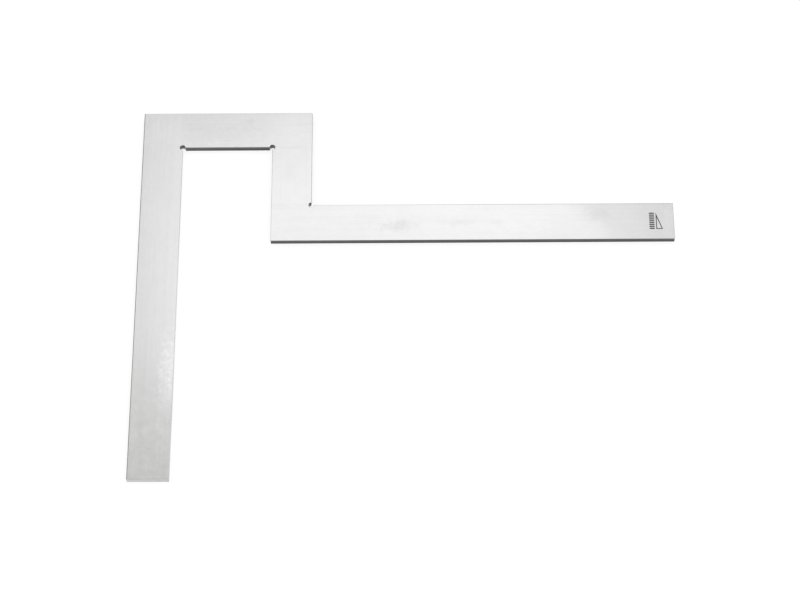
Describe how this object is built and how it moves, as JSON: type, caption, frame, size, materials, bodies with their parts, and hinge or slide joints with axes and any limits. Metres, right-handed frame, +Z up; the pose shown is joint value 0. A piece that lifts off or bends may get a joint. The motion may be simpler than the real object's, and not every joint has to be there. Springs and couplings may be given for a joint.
{
  "type": "stepped flange square",
  "caption": "Flat steel square with a long leg, a short bridge, a short leg and a long arm, stepped to leave a recess that clears a flange's rim.",
  "frame": {"origin": "middle of the bounding box, on the underside that the square lies on", "axes": "+X along the long arm towards its free end, +Y from the free end of the long leg towards the bridge, +Z up through the thickness"},
  "size_m": [0.398, 0.3, 0.005],
  "materials": {
    "ground_steel": "satin",
    "weld_metal": "satin",
    "etched_mark": "matte"
  },
  "bodies": {
    "root": {"long_leg": "ground_steel", "bridge": "ground_steel", "short_leg": "ground_steel", "long_arm": "ground_steel", "leg_weld": "weld_metal", "bridge_weld": "weld_metal", "arm_weld": "weld_metal"}
  },
  "joints": []
}
